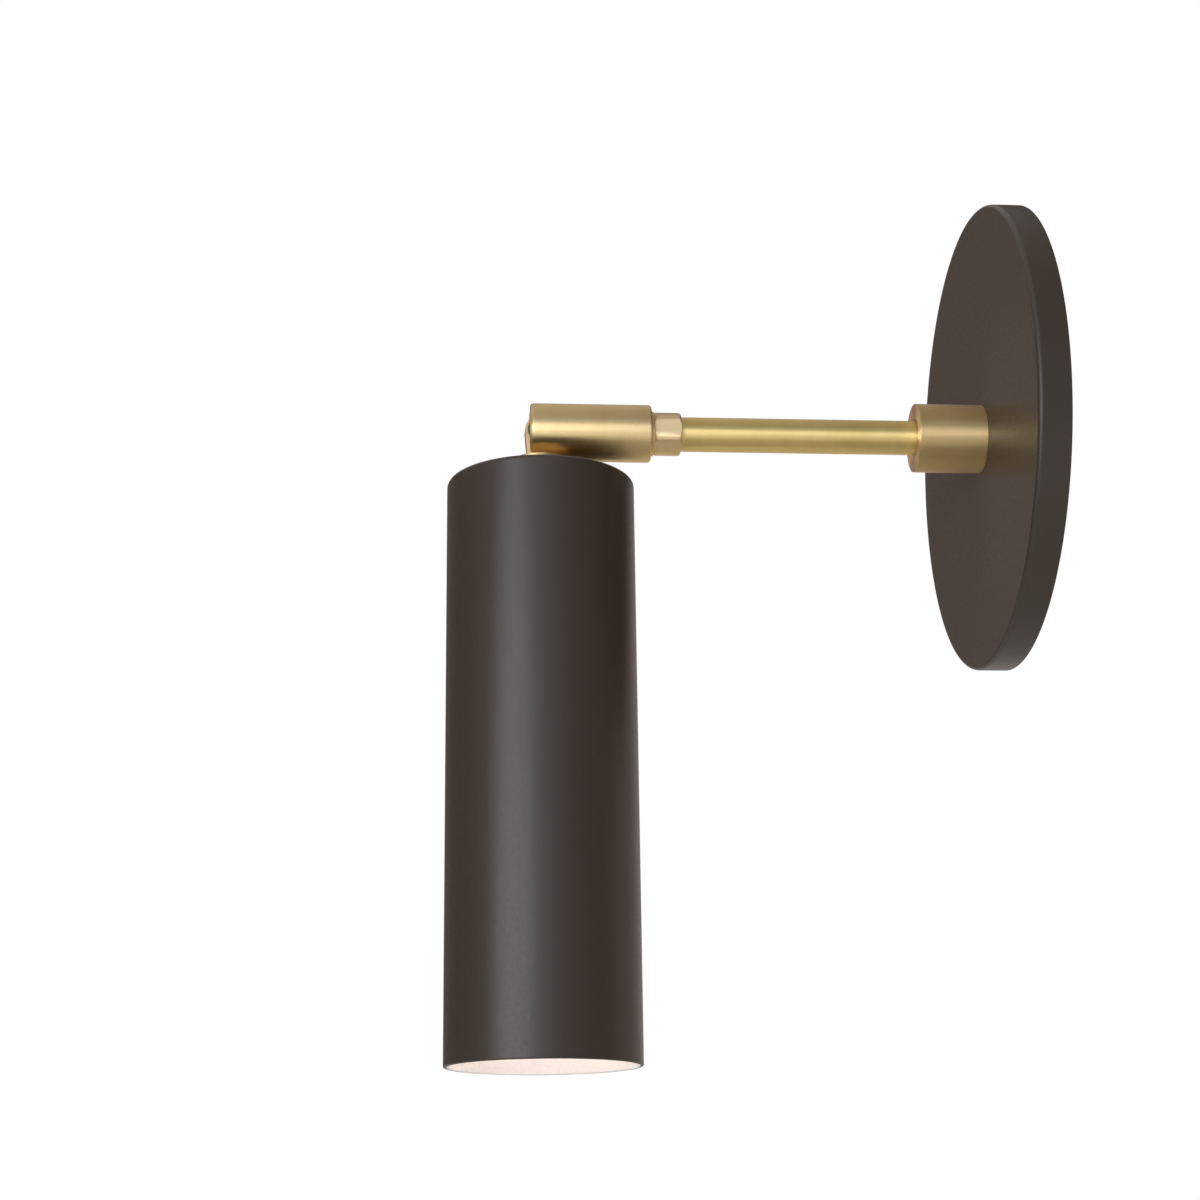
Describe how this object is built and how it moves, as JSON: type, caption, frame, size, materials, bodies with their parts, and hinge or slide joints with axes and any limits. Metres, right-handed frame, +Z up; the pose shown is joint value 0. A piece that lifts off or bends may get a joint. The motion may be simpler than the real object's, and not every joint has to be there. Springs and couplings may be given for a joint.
{
  "type": "wall spotlight",
  "caption": "Wall spotlight with a slim bronze cylinder shade on a brass arm that turns and tilts, on a round bronze wall plate.",
  "frame": {"origin": "centre of the wall plate's back, in the plane of the wall", "axes": "+Y into the wall, along the arm's axis; the arm runs out along -Y; +Z up, the shade hangs down at rest"},
  "size_m": [0.129, 0.1556, 0.2358],
  "materials": {
    "bronze_paint": "satin dark bronze",
    "zinc_steel": "zinc plated",
    "earth_green": "green passivated screw",
    "satin_brass": "satin turned brass",
    "stem_brass": "satin drawn brass",
    "friction_washer": "dark friction washer",
    "shade_bronze": "satin dark bronze outside, white inside",
    "holder_ceramic": "glazed ceramic",
    "lamp_housing": "white moulded housing",
    "lamp_lens": "frosted lens, lit"
  },
  "bodies": {
    "wall_side": {"wall_plate": "bronze_paint", "mounting_bar": "zinc_steel", "bar_nipple": "zinc_steel", "bar_lock_washer": "zinc_steel", "bar_lock_nut": "zinc_steel", "ground_screw": "earth_green", "collar": "satin_brass", "stem_tube": "stem_brass", "swivel_shank": "satin_brass", "turn_washer": "satin_brass"},
    "knuckle": {"swivel_knuckle": "satin_brass", "turn_pin": "satin_brass", "pivot_screw": "zinc_steel", "pivot_washers": "friction_washer"},
    "shade_head": {"swivel_tongue": "satin_brass", "shade": "shade_bronze", "shade_nipple": "zinc_steel", "shade_lock_washer": "zinc_steel", "shade_lock_nut": "zinc_steel", "holder_bracket": "zinc_steel", "bracket_nuts": "zinc_steel", "lampholder": "holder_ceramic", "holder_contacts": "satin_brass", "holder_screws": "zinc_steel", "lamp_body": "lamp_housing", "lamp_pins": "zinc_steel", "lamp_lens": "lamp_lens"}
  },
  "joints": [
    {"name": "knuckle_turn", "type": "hinge", "parent": "wall_side", "child": "knuckle", "pos_m": [0, -0.1, 0], "axis": [0, 1, 0], "range_deg": [-160, 160]},
    {"name": "shade_tilt", "type": "hinge", "parent": "knuckle", "child": "shade_head", "pos_m": [0, -0.1302, 0], "axis": [-1, 0, 0], "range_deg": [0, 180]}
  ]
}
